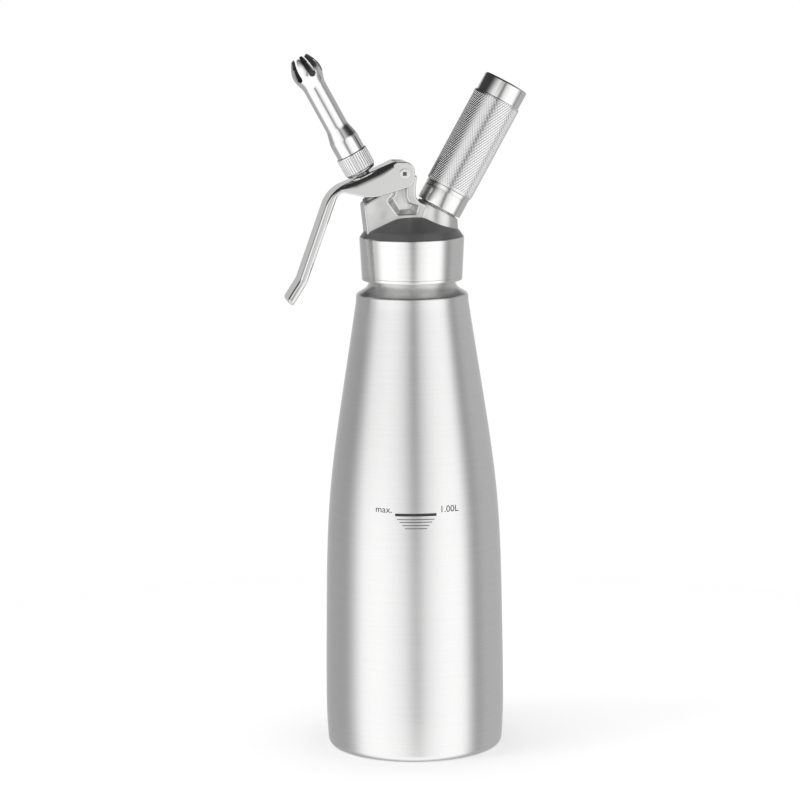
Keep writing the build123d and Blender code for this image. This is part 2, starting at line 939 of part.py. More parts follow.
with BuildPart() as piercing_pin:
    pin_point_level = charger_level + pin_pierce
    with BuildSketch(charger_side):
        with BuildLine():
            Polyline(
                (0, valve_body_level + pin_foot_rise),
                (pin_shank_radius, valve_body_level + pin_foot_rise),
                (pin_shank_radius, pin_point_level - pin_taper_length),
                (pin_point_radius, pin_point_level),
                (0, pin_point_level),
                close=True,
            )
        make_face()
    revolve(axis=charger_axis)
finish(piercing_pin.part, "piercing_pin")


# ---- charger and its holder ----
def charger_outline(inset):
    """Lines of the gas charger's half section, drawn in from its outside by inset."""
    neck_top = charger_level + charger_neck_length + inset
    body_level = neck_top + charger_shoulder_length
    dome_level = charger_level + charger_length - charger_radius
    neck = charger_neck_radius - inset
    Polyline((0, charger_level + inset), (neck, charger_level + inset), (neck, neck_top))
    Spline(
        (neck, neck_top),
        (charger_radius - inset, body_level),
        tangents=[(charger_shoulder_flare, 1), (0, 1)],
    )
    Line((charger_radius - inset, body_level), (charger_radius - inset, dome_level))
    CenterArc((0, dome_level), charger_radius - inset, 0, 90)
    Line((0, dome_level + charger_radius - inset), (0, charger_level + inset))


with BuildPart() as gas_charger:
    with BuildSketch(charger_side):
        with BuildLine():
            charger_outline(0)
        make_face()
    revolve(axis=charger_axis)
    with BuildSketch(charger_side):
        with BuildLine():
            charger_outline(charger_wall)
        make_face()
        band(0, charger_mouth_radius, charger_level, charger_level + 2 * charger_wall)
    revolve(axis=charger_axis, mode=Mode.SUBTRACT)
finish(gas_charger.part, "gas_charger")

with BuildPart() as charger_holder:
    chamber_radius = charger_radius + loose_gap
    with BuildSketch(charger_side):
        with BuildLine():
            Polyline(
                (0, holder_level),
                (holder_radius, holder_level),
                (holder_radius, holder_core_level),
                (knurl_radius, holder_core_level),
                (knurl_radius, holder_cap_level),
                (holder_cap_radius, holder_cap_level),
                (holder_cap_radius, holder_top_level - holder_cap_bevel),
                (holder_cap_radius - holder_cap_bevel, holder_top_level),
                (0, holder_top_level),
                close=True,
            )
        make_face()
        band(
            0,
            spigot_radius + thread_gap,
            holder_level,
            spigot_top_level + holder_bore_relief,
            mode=Mode.SUBTRACT,
        )
        band(
            0,
            chamber_radius,
            spigot_top_level,
            holder_top_level - holder_end_wall,
            mode=Mode.SUBTRACT,
        )
    revolve(axis=charger_axis)
finish(charger_holder.part, "charger_holder")

print("valve travel", round(valve_travel, 3), "per degree", round(valve_travel / lever_travel, 4))

os.makedirs("parts", exist_ok=True)
for part in finished:
    export_step(part, f"parts/{part.label}.step")
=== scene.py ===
import json
import bmesh
import bpy
import numpy as np
from math import atan2, cos, pi, radians, sin, tan
from mathutils import Matrix, Vector


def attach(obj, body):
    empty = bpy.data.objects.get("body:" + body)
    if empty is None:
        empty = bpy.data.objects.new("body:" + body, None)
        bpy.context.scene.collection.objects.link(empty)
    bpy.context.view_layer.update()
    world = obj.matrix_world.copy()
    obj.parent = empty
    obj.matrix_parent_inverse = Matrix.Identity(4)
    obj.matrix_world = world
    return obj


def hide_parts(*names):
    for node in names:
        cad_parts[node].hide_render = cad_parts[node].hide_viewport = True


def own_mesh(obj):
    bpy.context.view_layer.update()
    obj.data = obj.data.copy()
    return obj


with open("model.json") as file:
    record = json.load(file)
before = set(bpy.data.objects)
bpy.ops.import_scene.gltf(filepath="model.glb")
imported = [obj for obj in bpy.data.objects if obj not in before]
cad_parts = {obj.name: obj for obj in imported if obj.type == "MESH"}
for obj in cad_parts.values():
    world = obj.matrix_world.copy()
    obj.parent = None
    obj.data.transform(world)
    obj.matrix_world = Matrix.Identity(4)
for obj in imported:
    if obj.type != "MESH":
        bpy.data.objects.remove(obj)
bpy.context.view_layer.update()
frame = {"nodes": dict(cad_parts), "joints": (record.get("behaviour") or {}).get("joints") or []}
scene = bpy.context.scene
joints = {joint["name"]: joint for joint in frame["joints"]}

# sizes are in millimetres, and placed() brings a mesh to metres
mm = 0.001
upright = Matrix.Scale(mm, 4)
sidePlane = upright @ Matrix(((1, 0, 0, 0), (0, 0, -1, 0), (0, 1, 0, 0), (0, 0, 0, 1)))


def boreFrame(slide, turn):
    # x across a leaning bore, y straight back, z up it, from where its turning joint sits
    up = Vector(joints[slide]["axis"]).normalized()
    back = Vector((0, 1, 0))
    turned = Matrix((back.cross(up), back, up)).transposed().to_4x4()
    return Matrix.Translation(Vector(joints[turn]["pos_m"])) @ turned @ upright


valveFrame = boreFrame("nozzle_lift", "nozzle_turn")
chargerFrame = boreFrame("holder_lift", "holder_turn")


# meshes
def newObject(name, data):
    made = bpy.data.objects.new(name, data)
    scene.collection.objects.link(made)
    return made


def cleanObject(name, points, faces, gap, mend):
    # points closer than the gap are merged, and mend() does the rest
    mesh = bpy.data.meshes.new(name)
    mesh.from_pydata([tuple(p) for p in points], [], faces)
    shape = bmesh.new()
    shape.from_mesh(mesh)
    bmesh.ops.remove_doubles(shape, verts=shape.verts, dist=gap)
    mend(shape)
    shape.to_mesh(mesh)
    shape.free()
    return newObject(name, mesh)


def newPiece(name, points, faces):
    def faceOutwards(shape):
        bmesh.ops.recalc_face_normals(shape, faces=shape.faces)
        large = [face for face in shape.faces if len(face.verts) > 4]
        bmesh.ops.triangulate(shape, faces=large, ngon_method="EAR_CLIP")

    return cleanObject(name, points, faces, 1e-5, faceOutwards)


def cadCopy(name, source):
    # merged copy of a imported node, in metres and in place
    def joinFlats(shape):
        bmesh.ops.dissolve_limit(shape, angle_limit=radians(0.6), verts=shape.verts, edges=shape.edges)

    packed = frame["nodes"][source].data
    packed.calc_loop_triangles()
    faces = [tuple(triangle.vertices) for triangle in packed.loop_triangles]
    return cleanObject(name, [vert.co for vert in packed.vertices], faces, 2e-6, joinFlats)


def placed(piece, place):
    piece.data.transform(place)
    return piece


def applyModifiers(piece):
    evaluated = piece.evaluated_get(bpy.context.evaluated_depsgraph_get())
    mesh = bpy.data.meshes.new_from_object(evaluated)
    piece.modifiers.clear()
    old, piece.data = piece.data, mesh
    bpy.data.meshes.remove(old)
    mesh.name = piece.name
    return piece


def smooth(piece, angle):
    piece.data.shade_smooth()
    piece.data.set_sharp_from_angle(angle=radians(angle))
    return piece


def evenNormals(piece, angle):
    # flats stay flat beside their rounded edges
    smooth(piece, angle)
    step = piece.modifiers.new("normals", "WEIGHTED_NORMAL")
    step.weight, step.keep_sharp = 60, True
    return applyModifiers(piece)


def softEdges(piece, width):
    step = piece.modifiers.new("edges", "BEVEL")
    step.width, step.segments, step.use_clamp_overlap = width, 3, True
    step.limit_method, step.angle_limit = "ANGLE", radians(40)
    return applyModifiers(piece)


def cutOut(piece, cutters):
    for cutter in cutters:
        step = piece.modifiers.new("cut", "BOOLEAN")
        step.operation, step.solver, step.object = "DIFFERENCE", "EXACT", cutter
    applyModifiers(piece)
    for cutter in cutters:
        bpy.data.objects.remove(cutter)
    return piece


# outlines
def unit(vector):
    return np.array(vector, float) / np.linalg.norm(vector)


def arc(middle, radius, start, end, count):
    turns = np.linspace(start, end, count)
    return [(middle[0] + radius * cos(a), middle[1] + radius * sin(a)) for a in turns]


def rounded(points, radii, steps=8, closed=False):
    # corners of a line turned into arcs, one radius for each corner
    made = []
    count = len(points)
    for i, (point, radius) in enumerate(zip(points, radii)):
        here = np.array(point, float)
        if radius <= 0 or (not closed and i in (0, count - 1)):
            made.append(here)
            continue
        before = unit(np.array(points[i - 1], float) - here)
        after = unit(np.array(points[(i + 1) % count], float) - here)
        half = np.arccos(np.clip(before @ after, -1, 1)) / 2
        if abs(half - pi / 2) < 1e-4:
            made.append(here)
            continue
        middle = here + unit(before + after) * radius / sin(half)
        start, end = (here + arm * radius / tan(half) - middle for arm in (before, after))
        first = atan2(start[1], start[0])
        sweep = (atan2(end[1], end[0]) - first + pi) % (2 * pi) - pi
        for k in range(steps + 1):
            angle = first + sweep * k / steps
            made.append(middle + radius * np.array((cos(angle), sin(angle))))
    return [tuple(p) for p in made]


def flow(points, leaving, arriving, steps):
    # smooth line through points that leaves and arrives along two directions
    p = np.array(points, float)
    spans = np.linalg.norm(np.diff(p, axis=0), axis=1)
    n = len(p)
    left, right = np.eye(n), np.zeros((n, 2))
    right[0], right[-1] = unit(leaving), unit(arriving)
    for i in range(1, n - 1):
        a, b = spans[i - 1], spans[i]
        left[i, i - 1:i + 2] = b, 2 * (a + b), a
        right[i] = 3 * (b * (p[i] - p[i - 1]) / a + a * (p[i + 1] - p[i]) / b)
    slopes = np.linalg.solve(left, right)
    made = []
    for i in range(n - 1):
        for t in np.linspace(0, 1, steps, endpoint=False):
            a, b, c, d = 2 * t**3 - 3 * t**2 + 1, t**3 - 2 * t**2 + t, 3 * t**2 - 2 * t**3, t**3 - t**2
            made.append(a * p[i] + b * spans[i] * slopes[i] + c * p[i + 1] + d * spans[i] * slopes[i + 1])
    return [tuple(q) for q in made] + [tuple(p[-1])]


# solids from outlines
def lathe(name, outline, segments=192, closed=True):
    # turned piece from (radius, level) points
    turns = [2 * pi * i / segments for i in range(segments)]
    points, rings, faces = [], [], []
    for radius, level in outline:
        if radius < 1e-5:
            rings.append([len(points)] * segments)
            points.append((0, 0, level))
            continue
        rings.append(list(range(len(points), len(points) + segments)))
        points += [(radius * cos(a), radius * sin(a), level) for a in turns]
    for low, high in list(zip(rings, rings[1:])) + ([(rings[-1], rings[0])] if closed else []):
        for i in range(segments):
            j = (i + 1) % segments
            corners = list(dict.fromkeys((low[i], low[j], high[j], high[i])))
            if len(corners) > 2:
                faces.append(corners)
    return newPiece(name, points, faces)


def stackFaces(count, layers=2):
    # end faces, and a wall through layers of as many points each
    faces = [list(range(count)), list(range((layers - 1) * count, layers * count))]
    for low in range(0, (layers - 1) * count, count):
        high = low + count
        faces += [(low + i, low + (i + 1) % count, high + (i + 1) % count, high + i) for i in range(count)]
    return faces


def prism(name, outline, low, high):
    # flat outline in x and y, made solid between two heights along z
    return newPiece(name, [(x, y, z) for z in (low, high) for x, y in outline], stackFaces(len(outline)))


def layered(name, outline, rounds, half, steps=6):
    # solid between two flat sides, each point of its outline with its own rounding
    p, rounds = np.array(outline), np.array(rounds, float)
    along = np.roll(p, -1, 0) - np.roll(p, 1, 0)
    along /= np.linalg.norm(along, axis=1)[:, None]
    area = np.sum(p[:, 0] * np.roll(p[:, 1], -1) - p[:, 1] * np.roll(p[:, 0], -1))
    inwards = np.column_stack((-along[:, 1], along[:, 0])) * np.sign(area)
    turns = [pi / 2 * k / steps for k in range(steps + 1)]
    points = []
    for side, a in [(-1, a) for a in turns[::-1]] + [(1, a) for a in turns]:
        flat = p + inwards * (rounds * (1 - cos(a)))[:, None]
        points += [(x, y, side * (half - r + r * sin(a))) for (x, y), r in zip(flat, rounds)]
    return newPiece(name, points, stackFaces(len(p), 2 * steps + 2))


# node trees
def node(tree, kind, inputs=None, **settings):
    made = tree.nodes.new(kind)
    for key, value in settings.items():
        setattr(made, key, value)
    for key, value in (inputs or {}).items():
        if isinstance(value, bpy.types.NodeSocket):
            tree.links.new(value, made.inputs[key])
        else:
            made.inputs[key].default_value = value
    return made


def calc(tree, operation, *values):
    return node(tree, "ShaderNodeMath", dict(enumerate(values)), operation=operation).outputs[0]


def ramp(tree, share, stops):
    made = node(tree, "ShaderNodeValToRGB", {"Fac": share})
    band = made.color_ramp
    band.interpolation = "LINEAR"
    while len(band.elements) > 1:
        band.elements.remove(band.elements[0])
    for k, (place, value) in enumerate(stops):
        element = band.elements[0] if k == 0 else band.elements.new(place)
        element.position = place
        element.color = (*value, 1) if isinstance(value, tuple) else (value, value, value, 1)
    return made.outputs["Color"]


def between(tree, value, low, high):
    span = {"Value": value, "From Min": low, "From Max": high}
    return node(tree, "ShaderNodeMapRange", span, interpolation_type="SMOOTHSTEP").outputs[0]


def openTree(name, inputs):
    # a modifier's tree, the identifiers of its inputs, and the inputs themselves
    tree = bpy.data.node_groups.new(name, "GeometryNodeTree")
    face = tree.interface
    names = {}
    for key, kind in [("Geometry", "Geometry"), *inputs.items(), ("Material", "Material")]:
        names[key] = face.new_socket(key, in_out="INPUT", socket_type="NodeSocket" + kind).identifier
    face.new_socket("Geometry", in_out="OUTPUT", socket_type="NodeSocketGeometry")
    return tree, names, node(tree, "NodeGroupInput").outputs


def closeTree(tree, given, added):
    # the mesh that came in, with what the tree adds
    joined = node(tree, "GeometryNodeJoinGeometry")
    tree.links.new(added, joined.inputs[0])
    tree.links.new(given["Geometry"], joined.inputs[0])
    real = node(tree, "GeometryNodeRealizeInstances", {"Geometry": joined.outputs[0]})
    painted = node(tree, "GeometryNodeSetMaterial", {"Geometry": real.outputs[0], "Material": given["Material"]})
    node(tree, "NodeGroupOutput", {0: painted.outputs[0]})


def runTree(piece, tree, names, **values):
    step = piece.modifiers.new(tree.name, "NODES")
    step.node_group = tree
    for key, value in values.items():
        step[names[key]] = value
    return applyModifiers(piece)


# camera, and the directions of the picture
view = dict(distance=1700, height=453, azimuth=-8.0, pitch=8.6, roll=0.43, aside=7.2, lens=138.375, sensor=36)
heading = radians(view["azimuth"])
inward = Vector((-sin(heading), cos(heading), 0))
rightward = Vector((cos(heading), sin(heading), 0))


def makeCamera():
    pitch, roll = radians(view["pitch"]), radians(view["roll"])
    forward = inward * cos(pitch) - Vector((0, 0, sin(pitch)))
    up = rightward.cross(forward)
    right, up = rightward * cos(roll) - up * sin(roll), up * cos(roll) + rightward * sin(roll)
    data = bpy.data.cameras.new("camera")
    data.lens, data.sensor_width, data.clip_start, data.clip_end = view["lens"], view["sensor"], 0.05, 20
    camera = newObject("camera", data)
    place = (-view["distance"] * inward - view["aside"] * rightward) * mm
    place.z = view["height"] * mm
    camera.matrix_world = Matrix.Translation(place) @ Matrix((right, up, -forward)).transposed().to_4x4()
    scene.camera = camera


# brightness round the object in three belts, by degrees from the camera towards the right,
# and the heights in degrees over which one belt goes over into the next
studio = dict(
    low=[(-180, 0.42), (-100, 0.42), (-88, 0.6), (-78, 1.08), (74, 1.1), (84, 0.62), (94, 0.3), (108, 0.46),
         (180, 0.44)],
    walls=[(-180, 0.72), (-165, 0.58), (-148, 0.4), (-112, 0.35), (-98, 0.34), (-86, 0.64), (-72, 1.12),
           (-44, 1.16), (-28, 1.04), (-15, 0.92), (-6, 0.66), (0, 0.27), (5, 0.27), (11, 0.64), (17, 0.84),
           (27, 1.0), (40, 1.12), (67, 1.12), (77, 0.6), (86, 0.27), (102, 0.45), (150, 0.45), (165, 0.58),
           (180, 0.72)],
    upper=[(-180, 0.05), (-76, 0.06), (-64, 0.3), (-54, 0.58), (-40, 0.85), (-24, 0.9), (-9, 0.3), (0, 0.22),
           (10, 0.6), (30, 1.0), (60, 1.05), (68, 0.7), (80, 0.27), (92, 0.36), (106, 0.43), (140, 0.4),
           (160, 0.07), (180, 0.05)],
    lowFrom=-26, lowTo=-16, upperFrom=13, upperTo=21, topFrom=20, topTo=42, top=0.035, diffuse=0.82)
lamp = dict(size=0.9, energy=6, aim=0.15, left=1.5, nearer=0.7, above=1.9)


def makeStudio():
    world = bpy.data.worlds.new("studio")
    world.use_nodes = True
    scene.world = world
    tree = world.node_tree
    tree.nodes.clear()
    direction = node(tree, "ShaderNodeTexCoord").outputs["Generated"]

    def along(axis):
        both = {0: direction, 1: tuple(axis)}
        return node(tree, "ShaderNodeVectorMath", both, operation="DOT_PRODUCT").outputs["Value"]

    aside, nearer, upwards = along(rightward), along(-inward), along(Vector((0, 0, 1)))
    turn = calc(tree, "ARCTAN2", aside, nearer)
    share = calc(tree, "MULTIPLY_ADD", turn, 1 / (2 * pi), 0.5)
    low, walls, upper = (ramp(tree, share, [((degrees + 180) / 360, value) for degrees, value in studio[key]])
                         for key in ("low", "walls", "upper"))
    rise = calc(tree, "MULTIPLY", calc(tree, "ARCSINE", upwards), 180 / pi)

    def above(key):
        return between(tree, rise, studio[key + "From"], studio[key + "To"])

    def mixed(share, first, second):
        return node(tree, "ShaderNodeMix", {0: share, 6: first, 7: second}, data_type="RGBA").outputs[2]

    def grey(value):
        return (value, value, value, 1)

    belts = mixed(above("upper"), mixed(above("low"), low, walls), upper)
    seen = mixed(above("top"), belts, grey(studio["top"]))
    path = node(tree, "ShaderNodeLightPath")
    lit = mixed(path.outputs["Is Diffuse Ray"], seen, grey(studio["diffuse"]))
    shown = mixed(path.outputs["Is Camera Ray"], lit, grey(1))
    background = node(tree, "ShaderNodeBackground", {"Color": shown, "Strength": 1})
    node(tree, "ShaderNodeOutputWorld", {"Surface": background.outputs[0]})
    world.cycles.sampling_method = "MANUAL"
    world.cycles.sample_map_resolution = 512

    light = bpy.data.lights.new("softbox", "AREA")
    light.shape, light.size, light.energy = "DISK", lamp["size"], lamp["energy"]
    softbox = newObject("softbox", light)
    aim = Vector((0, 0, lamp["aim"]))
    softbox.location = aim - rightward * lamp["left"] - inward * lamp["nearer"] + Vector((0, 0, lamp["above"]))
    softbox.rotation_euler = (aim - softbox.location).to_track_quat("-Z", "Y").to_euler()
    softbox.visible_glossy = False


# floor that fades out, its fade in metres from the middle
floor = dict(radius=620, level=-0.05, fadeFrom=0.26, fadeTo=0.48, colour=0.9, glow=0.28)


def makeFloor():
    ring = [(x, y, floor["level"]) for x, y in arc((0, 0), floor["radius"], 0, 2 * pi, 97)[:-1]]
    piece = placed(newPiece("floor", ring, [list(range(len(ring)))]), upright)
    if piece.data.polygons[0].normal.z < 0:
        piece.data.flip_normals()
    material, tree, shader = newMaterial("whiteFloor", (floor["colour"],) * 3, 0, 0.9, Specular_IOR_Level=0)
    where = node(tree, "ShaderNodeTexCoord").outputs["Object"]
    away = node(tree, "ShaderNodeVectorMath", {0: where}, operation="LENGTH").outputs["Value"]
    path = node(tree, "ShaderNodeLightPath").outputs
    strength = calc(tree, "MULTIPLY", path["Is Camera Ray"], floor["glow"])
    glow = node(tree, "ShaderNodeEmission", {"Strength": strength}).outputs[0]
    lit = node(tree, "ShaderNodeAddShader", {0: shader.outputs[0], 1: glow}).outputs[0]
    clear = calc(tree, "MAXIMUM", between(tree, away, floor["fadeFrom"], floor["fadeTo"]), path["Is Glossy Ray"])
    nothing = node(tree, "ShaderNodeBsdfTransparent").outputs[0]
    shown = node(tree, "ShaderNodeMixShader", {0: clear, 1: lit, 2: nothing})
    output = next(n for n in tree.nodes if n.type == "OUTPUT_MATERIAL")
    tree.links.new(shown.outputs[0], output.inputs["Surface"])
    piece.data.materials.append(material)


# finishes
def newMaterial(name, colour, metallic, roughness, **sockets):
    material = bpy.data.materials.new(name)
    material.use_nodes = True
    tree = material.node_tree
    shader = next(n for n in tree.nodes if n.type == "BSDF_PRINCIPLED")
    shader.inputs["Base Color"].default_value = (*colour, 1)
    shader.inputs["Metallic"].default_value = metallic
    shader.inputs["Roughness"].default_value = roughness
    for key, value in sockets.items():
        shader.inputs[key.replace("_", " ")].default_value = value
    return material, tree, shader


def noise(tree, where, detail, roughness=0.6):
    sizes = {"Vector": where, "Scale": 1, "Detail": detail, "Roughness": roughness}
    return node(tree, "ShaderNodeTexNoise", sizes).outputs["Fac"]


def grain(tree, scale, detail=3, roughness=0.6):
    where = node(tree, "ShaderNodeTexCoord").outputs["Object"]
    finer = node(tree, "ShaderNodeMapping", {"Vector": where, "Scale": (scale, scale, scale)}).outputs[0]
    return noise(tree, finer, detail, roughness)


def turnedGrain(tree, about, across, detail):
    # lines that run round the axis, on a wall or on a dome
    where = node(tree, "ShaderNodeTexCoord").outputs["Object"]
    x, y, z = node(tree, "ShaderNodeSeparateXYZ", {0: where}).outputs
    away = calc(tree, "SQRT", calc(tree, "ADD", calc(tree, "MULTIPLY", x, x), calc(tree, "MULTIPLY", y, y)))
    line = calc(tree, "MULTIPLY", calc(tree, "SUBTRACT", z, away), across)
    parts = {0: calc(tree, "MULTIPLY", x, about), 1: calc(tree, "MULTIPLY", y, about), 2: line}
    return noise(tree, node(tree, "ShaderNodeCombineXYZ", parts).outputs[0], detail)


def blended(tree, first, second, share):
    return calc(tree, "ADD", calc(tree, "MULTIPLY", first, share), calc(tree, "MULTIPLY", second, 1 - share))


def addTint(tree, shader, value, low, high):
    tree.links.new(ramp(tree, value, [(0.3, low), (0.7, high)]), shader.inputs["Base Color"])


def addMottle(tree, shader, value, low, high):
    span = {"Value": value, "From Min": 0.3, "From Max": 0.7, "To Min": low, "To Max": high}
    tree.links.new(node(tree, "ShaderNodeMapRange", span).outputs[0], shader.inputs["Roughness"])


def addBump(tree, shader, height, strength, distance):
    bump = node(tree, "ShaderNodeBump", {"Height": height, "Strength": strength, "Distance": distance})
    tree.links.new(bump.outputs[0], shader.inputs["Normal"])


def brushed(name, colour, roughness, spread, depth, metallic=1):
    # lines run round the axis, so the shine spreads up and down
    sockets = dict(Anisotropic=spread, Anisotropic_Rotation=0.25)
    material, tree, shader = newMaterial(name, colour, metallic, roughness, **sockets)
    lines = blended(tree, turnedGrain(tree, 40, 2400, 4), turnedGrain(tree, 12, 420, 2), 0.65)
    addTint(tree, shader, lines, tuple(c * 0.96 for c in colour), tuple(min(1, c * 1.03) for c in colour))
    addMottle(tree, shader, lines, roughness - 0.02, roughness + 0.02)
    addBump(tree, shader, lines, depth, 0.00003)
    tangent = node(tree, "ShaderNodeTangent", direction_type="RADIAL", axis="Z")
    tree.links.new(tangent.outputs[0], shader.inputs["Tangent"])
    return material


def plain(name, colour, roughness, mottle, depth, scale=420):
    material, tree, shader = newMaterial(name, colour, 1, roughness)
    spots = grain(tree, scale, 4)
    addMottle(tree, shader, spots, roughness - mottle, roughness + mottle)
    addBump(tree, shader, spots, depth, 0.00005)
    return material


def blastedCasting():
    material, tree, shader = newMaterial("castMetal", (0.8, 0.8, 0.795), 1, 0.34)
    broad = grain(tree, 160, 2, 0.5)
    both = blended(tree, grain(tree, 2600, 3, 0.7), broad, 0.6)
    addTint(tree, shader, both, (0.75, 0.75, 0.745), (0.84, 0.84, 0.835))
    addMottle(tree, shader, broad, 0.3, 0.38)
    uneven = calc(tree, "MULTIPLY", grain(tree, 75, 1, 0.4), 1.1)
    addBump(tree, shader, calc(tree, "ADD", uneven, calc(tree, "MULTIPLY", both, 0.012)), 1, 0.001)
    return material


def rubber(name, colour, roughness):
    material, tree, shader = newMaterial(name, colour, 0, roughness)
    spots = grain(tree, 900)
    addMottle(tree, shader, spots, roughness - 0.06, roughness + 0.06)
    addBump(tree, shader, spots, 0.15, 0.00004)
    return material


makeCamera()
makeStudio()
makeFloor()
finishes = {
    "brushed_steel": brushed("brushedSteel", (0.95, 0.95, 0.947), roughness=0.34, spread=0.7, depth=0.12),
    "turned_steel": brushed("turnedSteel", (0.86, 0.86, 0.85), roughness=0.22, spread=0.5, depth=0.3),
    "cast_metal": blastedCasting(),
    "satin_steel": plain("satinSteel", (0.82, 0.82, 0.815), roughness=0.17, mottle=0.03, depth=0.04, scale=900),
    "polished_steel": plain("polishedSteel", (0.9, 0.9, 0.895), roughness=0.1, mottle=0.03, depth=0.05),
    "nozzle_chrome": plain("nozzleChrome", (0.93, 0.93, 0.935), roughness=0.13, mottle=0.02, depth=0.008,
                           scale=160),
    "silicone": rubber("silicone", (0.07, 0.07, 0.075), roughness=0.55),
    "spring_steel": plain("springSteel", (0.72, 0.72, 0.71), roughness=0.22, mottle=0.05, depth=0.1),
    "brass": plain("brass", (0.85, 0.62, 0.3), roughness=0.28, mottle=0.05, depth=0.1),
    "charger_steel": plain("chargerSteel", (0.8, 0.8, 0.79), roughness=0.2, mottle=0.04, depth=0.05),
    # the rest have no slot of their own
    "sleeveSteel": brushed("sleeveSteel", (0.93, 0.93, 0.925), roughness=0.24, spread=0.6, depth=0.09),
    # painted reflection: a dark copy of the sleeve's steel for its dome, in place of the dark it reflects
    "domeSteel": brushed("domeSteel", (0.3, 0.3, 0.3), roughness=0.42, spread=0.85, depth=0.4, metallic=0.85),
    # painted shade: a dark copy of steel, for the nozzle ring's grooves and the small pieces seen in gaps
    "darkSteel": plain("darkSteel", (0.3, 0.3, 0.3), roughness=0.25, mottle=0.04, depth=0.05),
    # painted shade: a darker copy of polished steel for the grooves of the knurl
    "grooveSteel": plain("grooveSteel", (0.84, 0.84, 0.84), roughness=0.2, mottle=0.03, depth=0.05),
    # painted shade: a dark copy of steel for the nozzle's inner wall and the lever pin's socket
    "dullInside": plain("dullInside", (0.16, 0.16, 0.16), roughness=0.45, mottle=0.05, depth=0.1, scale=300),
    "markInk": rubber("markInk", (0.035, 0.035, 0.04), roughness=0.5),
}
print("stage: camera, studio and finishes")


def dress(piece, body, slot, *nodes, finish=None):
    piece.data.materials.clear()
    piece.data.materials.append(finishes[finish or slot])
    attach(piece, body)
    if nodes:
        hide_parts(*nodes)
    return piece


def facesWhere(piece, test):
    return [face.index for face in piece.data.polygons if test(face)]


def repaint(piece, finish, chosen):
    # a second finish on some of the faces
    piece.data.materials.append(finishes[finish])
    for index in chosen:
        piece.data.polygons[index].material_index = 1


# bottle, a thin shell whose side is drawn once for each face of its wall
bottle = dict(foot=49.1, footCorner=4, footLean=0.07, belly=50, bellyHeight=29.5, shoulder=31.4,
              shoulderHeight=251.1, shoulderLean=8.5, edgeRadius=31.05, edgeHeight=256.0, edgeRound=1.8,
              neck=23.8, neckRoot=260.3, rootRound=6.3, neckTop=264.2, wall=1,
              # shares of the way up and of the way out between shoulder and belly
              shares=((0.236, 0.968), (0.507, 0.836), (0.738, 0.484)))
b = bottle


def bottleSide(inset):
    corner = arc((b["foot"] - b["footCorner"], b["footCorner"]), b["footCorner"] - inset, -pi / 2, 0, 10)
    belly = (b["belly"] - inset, b["bellyHeight"])
    foot = flow([(b["foot"] - inset, b["footCorner"]), belly], (b["footLean"], 1), (0, 1), 10)
    span, drop = b["shoulderHeight"] - b["bellyHeight"], b["belly"] - b["shoulder"]
    flank = [(b["shoulder"] + out * drop - inset, b["bellyHeight"] + up * span) for up, out in b["shares"]]
    shoulder = (b["shoulder"] - inset, b["shoulderHeight"])
    lean = radians(b["shoulderLean"])
    flank = flow([belly, *flank, shoulder], (0, 1), (-sin(lean), cos(lean)), 24)
    top = rounded([shoulder, (b["edgeRadius"] - inset, b["edgeHeight"] - inset),
                   (b["neck"] - inset, b["neckRoot"] - inset), (b["neck"] - inset, b["neckTop"])],
                  (0, b["edgeRound"], b["rootRound"], 0), 7)
    return corner + foot[1:] + flank[1:] + top[1:]


outside, inside = bottleSide(0), bottleSide(b["wall"])
shell = lathe("bottleShell", [(0, 0)] + outside + inside[::-1] + [(0, b["wall"])], 256, closed=False)
dress(placed(smooth(shell, 30), upright), "bottle", "brushed_steel", "bottle_body")

thread = dict(root=24.2, crest=25.0, inner=22.8, low=264.2, high=278.0, edge=0.6, start=265.4, pitch=4.0,
              turns=2.75, ridge=1.7, ridgeTop=0.55)
t = thread


def threadTree():
    # a ridge that climbs round a turned core
    sizes = dict.fromkeys(("Radius", "Start", "Pitch", "Turns", "Ridge", "Depth"), "Float")
    tree, names, given = openTree("screwThread", sizes)
    spiral = node(tree, "GeometryNodeCurveSpiral", {
        "Resolution": 96, "Start Radius": given["Radius"], "End Radius": given["Radius"],
        "Rotations": given["Turns"], "Height": calc(tree, "MULTIPLY", given["Pitch"], given["Turns"])})
    lift = node(tree, "ShaderNodeCombineXYZ", {"Z": given["Start"]})
    path = node(tree, "GeometryNodeSetPosition", {"Geometry": spiral.outputs[0], "Offset": lift.outputs[0]})
    shape = node(tree, "GeometryNodeCurvePrimitiveQuadrilateral", {
        "Bottom Width": given["Ridge"], "Top Width": calc(tree, "MULTIPLY", given["Ridge"], t["ridgeTop"]),
        "Height": calc(tree, "MULTIPLY", given["Depth"], 2), "Offset": 0.0}, mode="TRAPEZOID")
    ridge = node(tree, "GeometryNodeCurveToMesh", {
        "Curve": path.outputs[0], "Profile Curve": shape.outputs[0], "Fill Caps": True})
    closeTree(tree, given, ridge.outputs[0])
    return tree, names


core = rounded([(t["inner"], t["low"]), (t["root"], t["low"]), (t["root"], t["high"]), (t["inner"], t["high"])],
               (0, 0, t["edge"], t["edge"]), 5)
neckRing = lathe("neckThread", core, 160)
runTree(neckRing, *threadTree(), Radius=t["root"], Start=t["start"], Pitch=t["pitch"], Turns=t["turns"],
        Ridge=t["ridge"], Depth=t["crest"] - t["root"], Material=finishes["turned_steel"])
dress(placed(smooth(neckRing, 32), upright), "bottle", "turned_steel", "bottle_neck_ring")
print("stage: bottle")

